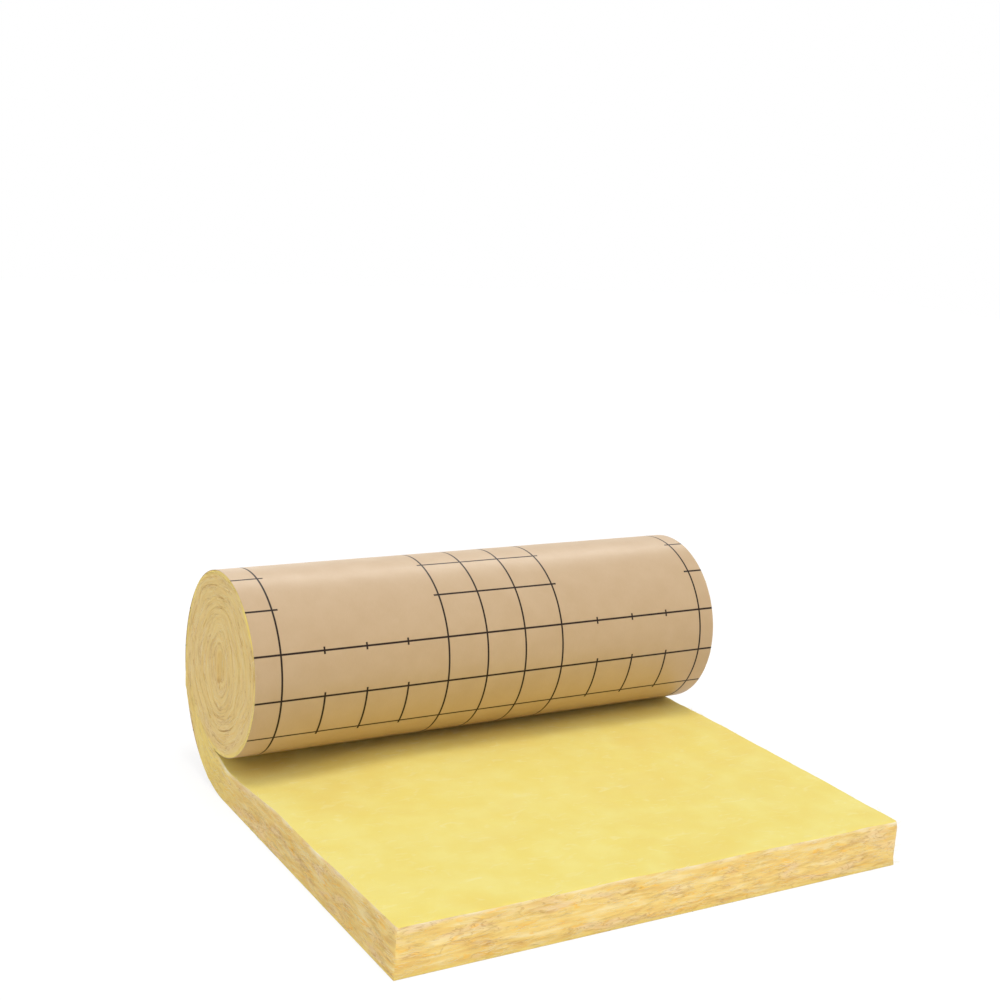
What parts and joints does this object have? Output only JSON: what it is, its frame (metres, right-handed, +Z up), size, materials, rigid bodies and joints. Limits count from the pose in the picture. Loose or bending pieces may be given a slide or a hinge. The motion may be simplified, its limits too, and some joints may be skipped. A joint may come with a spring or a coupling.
{
  "type": "insulation roll",
  "caption": "Kraft-faced glass wool insulation blanket, partly unrolled: a compressed cylindrical roll resting on its own flat laid end, for insulating roofs, lofts and partitions.",
  "frame": {"origin": "middle of the footprint on the floor, under the centre of the bounding box", "axes": "+X along the roll's axis, +Y from the cut front edge of the laid end back to the roll, +Z up"},
  "size_m": [1.2, 1.102, 0.5079],
  "materials": {
    "glass_wool": "soft matted glass fibre, lemon yellow with tan cut edges",
    "kraft_paper": "smooth brown kraft paper with a dark printed cutting grid"
  },
  "bodies": {
    "root": {"wool_blanket": "glass_wool", "kraft_facing": "kraft_paper"}
  },
  "joints": []
}
